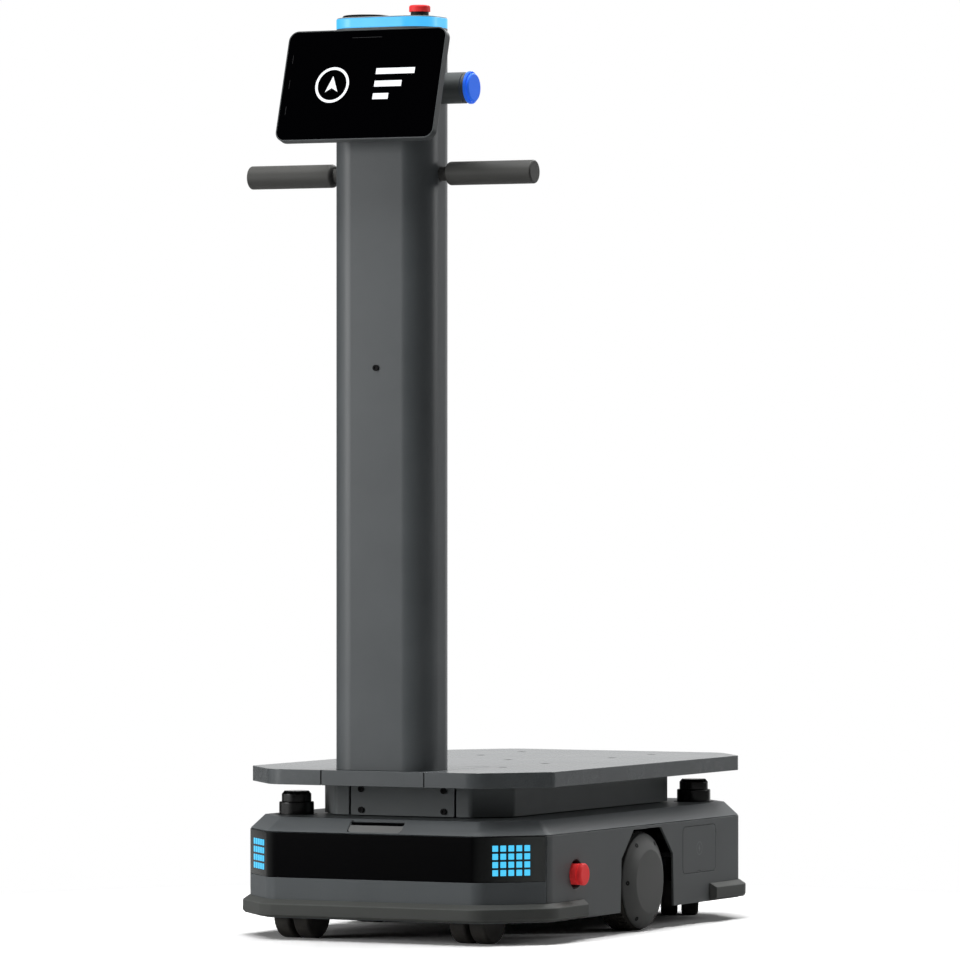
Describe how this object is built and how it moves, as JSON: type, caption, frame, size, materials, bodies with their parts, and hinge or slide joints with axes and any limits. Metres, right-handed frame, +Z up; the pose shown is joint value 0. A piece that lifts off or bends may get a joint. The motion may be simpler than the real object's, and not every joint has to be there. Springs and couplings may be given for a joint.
{
  "type": "delivery robot",
  "caption": "Wheeled delivery robot: low body on drive wheels and casters, flat load deck, tall column with tilted display, handles, scanners and stop buttons.",
  "frame": {"origin": "on the floor, under the middle of the robot's bounding box", "axes": "+Z up; -Y is the front, where the display looks; +X is the robot's side with the charge door and the call button"},
  "size_m": [0.518, 0.891, 1.346],
  "materials": {
    "body_plastic": "fine satin",
    "shell_plastic": "fine satin",
    "deck_paint": "fine satin powder coat",
    "column_paint": "satin powder coat",
    "bumper_rubber": "matt",
    "black_gloss": "gloss",
    "black_matt": "matt",
    "lamp_blue": "lit",
    "ring_blue": "lit",
    "cap_pale": "satin",
    "screen_glass": "gloss",
    "stop_red": "satin",
    "call_blue": "satin",
    "grip_rubber": "matt",
    "tyre_rubber": "matt",
    "hub_plastic": "satin",
    "motor_metal": "cast",
    "frame_steel": "satin",
    "bare_steel": "satin",
    "caster_black": "satin",
    "screw_black": "black oxide",
    "contact_brass": "bright",
    "battery_case": "matt",
    "unit_case": "satin"
  },
  "bodies": {
    "chassis": {"base_frame": "frame_steel", "battery_pack": "battery_case", "control_unit": "unit_case", "top_cover": "body_plastic", "front_camera": "black_gloss", "light_panel": "black_gloss", "front_cover": "body_plastic", "led_tiles": "lamp_blue", "rear_cover": "body_plastic", "left_side_cover": "shell_plastic", "right_side_cover": "shell_plastic", "charge_socket": "black_matt", "charge_contacts": "contact_brass", "stop_cups": "black_matt", "front_bumper": "bumper_rubber", "rear_bumper": "bumper_rubber", "scanner_bases": "black_gloss", "scanner_windows": "black_gloss", "pedestal_housing": "body_plastic", "pedestal_plate": "body_plastic", "cover_screws": "screw_black", "load_deck": "deck_paint", "deck_inserts": "bare_steel", "column_foot": "column_paint", "column_tube": "column_paint", "light_ring": "ring_blue", "top_cap": "cap_pale", "top_camera_window": "black_gloss", "top_stop_collar": "black_matt", "display_shell": "shell_plastic", "display_glass": "screen_glass", "display_bracket": "shell_plastic", "handle_bar": "bare_steel", "left_handle_grip": "grip_rubber", "right_handle_grip": "grip_rubber", "call_button_boss": "shell_plastic", "call_button_bezel": "call_blue", "pivot_brackets": "bare_steel", "caster_plates": "bare_steel"},
    "charge_door": {"charge_door": "shell_plastic"},
    "left_stop": {"left_stop_button": "stop_red"},
    "right_stop": {"right_stop_button": "stop_red"},
    "top_stop": {"top_stop_button": "stop_red"},
    "call_button": {"call_button": "call_blue"},
    "left_drive_wheel": {"left_tyre": "tyre_rubber", "left_hub_motor": "motor_metal", "left_hub_cover": "hub_plastic"},
    "left_suspension": {"left_swing_arm": "bare_steel"},
    "right_drive_wheel": {"right_tyre": "tyre_rubber", "right_hub_motor": "motor_metal", "right_hub_cover": "hub_plastic"},
    "right_suspension": {"right_swing_arm": "bare_steel"},
    "front_left_swivel": {"front_left_caster_fork": "bare_steel"},
    "front_left_caster": {"front_left_caster_wheels": "caster_black"},
    "front_right_swivel": {"front_right_caster_fork": "bare_steel"},
    "front_right_caster": {"front_right_caster_wheels": "caster_black"},
    "rear_left_swivel": {"rear_left_caster_fork": "bare_steel"},
    "rear_left_caster": {"rear_left_caster_wheels": "caster_black"},
    "rear_right_swivel": {"rear_right_caster_fork": "bare_steel"},
    "rear_right_caster": {"rear_right_caster_wheels": "caster_black"}
  },
  "joints": [
    {"name": "left_suspension_swing", "type": "hinge", "parent": "chassis", "child": "left_suspension", "pos_m": [-0.174, 0.1395, 0.076], "axis": [1, 0, 0], "range_deg": [-2.5, 2.5], "stiffness_Nm_per_rad": 300},
    {"name": "left_wheel_spin", "type": "hinge", "parent": "left_suspension", "child": "left_drive_wheel", "pos_m": [-0.213, 0.0245, 0.073], "axis": [1, 0, 0], "continuous": true},
    {"name": "right_suspension_swing", "type": "hinge", "parent": "chassis", "child": "right_suspension", "pos_m": [0.174, 0.1395, 0.076], "axis": [1, 0, 0], "range_deg": [-2.5, 2.5], "stiffness_Nm_per_rad": 300},
    {"name": "right_wheel_spin", "type": "hinge", "parent": "right_suspension", "child": "right_drive_wheel", "pos_m": [0.213, 0.0245, 0.073], "axis": [1, 0, 0], "continuous": true},
    {"name": "front_left_swivel_turn", "type": "hinge", "parent": "chassis", "child": "front_left_swivel", "pos_m": [-0.142, -0.3095, 0.1], "axis": [0, 0, 1], "continuous": true},
    {"name": "front_left_caster_spin", "type": "hinge", "parent": "front_left_swivel", "child": "front_left_caster", "pos_m": [-0.142, -0.3315, 0.0375], "axis": [-1, 0, 0], "continuous": true},
    {"name": "front_right_swivel_turn", "type": "hinge", "parent": "chassis", "child": "front_right_swivel", "pos_m": [0.142, -0.3095, 0.1], "axis": [0, 0, 1], "continuous": true},
    {"name": "front_right_caster_spin", "type": "hinge", "parent": "front_right_swivel", "child": "front_right_caster", "pos_m": [0.142, -0.3315, 0.0375], "axis": [-1, 0, 0], "continuous": true},
    {"name": "rear_left_swivel_turn", "type": "hinge", "parent": "chassis", "child": "rear_left_swivel", "pos_m": [-0.142, 0.3585, 0.1], "axis": [0, 0, 1], "continuous": true},
    {"name": "rear_left_caster_spin", "type": "hinge", "parent": "rear_left_swivel", "child": "rear_left_caster", "pos_m": [-0.14582, 0.38017, 0.0375], "axis": [0.9848, 0.1736, 0], "continuous": true},
    {"name": "rear_right_swivel_turn", "type": "hinge", "parent": "chassis", "child": "rear_right_swivel", "pos_m": [0.142, 0.3585, 0.1], "axis": [0, 0, 1], "continuous": true},
    {"name": "rear_right_caster_spin", "type": "hinge", "parent": "rear_right_swivel", "child": "rear_right_caster", "pos_m": [0.13218, 0.37819, 0.0375], "axis": [0.8949, 0.4462, 0], "continuous": true},
    {"name": "call_button_press", "type": "slide", "parent": "chassis", "child": "call_button", "axis": [-1, 0, 0], "range_m": [0, 0.003], "stiffness_N_per_m": 500},
    {"name": "top_stop_press", "type": "slide", "parent": "chassis", "child": "top_stop", "axis": [0, 0, -1], "range_m": [0, 0.0035]},
    {"name": "left_stop_press", "type": "slide", "parent": "chassis", "child": "left_stop", "axis": [1, 0, 0], "range_m": [0, 0.0035]},
    {"name": "right_stop_press", "type": "slide", "parent": "chassis", "child": "right_stop", "axis": [-1, 0, 0], "range_m": [0, 0.0035]},
    {"name": "charge_door_swing", "type": "hinge", "parent": "chassis", "child": "charge_door", "pos_m": [0.2425, 0.20725, 0.136], "axis": [0, -1, 0], "range_deg": [0, 95]}
  ]
}
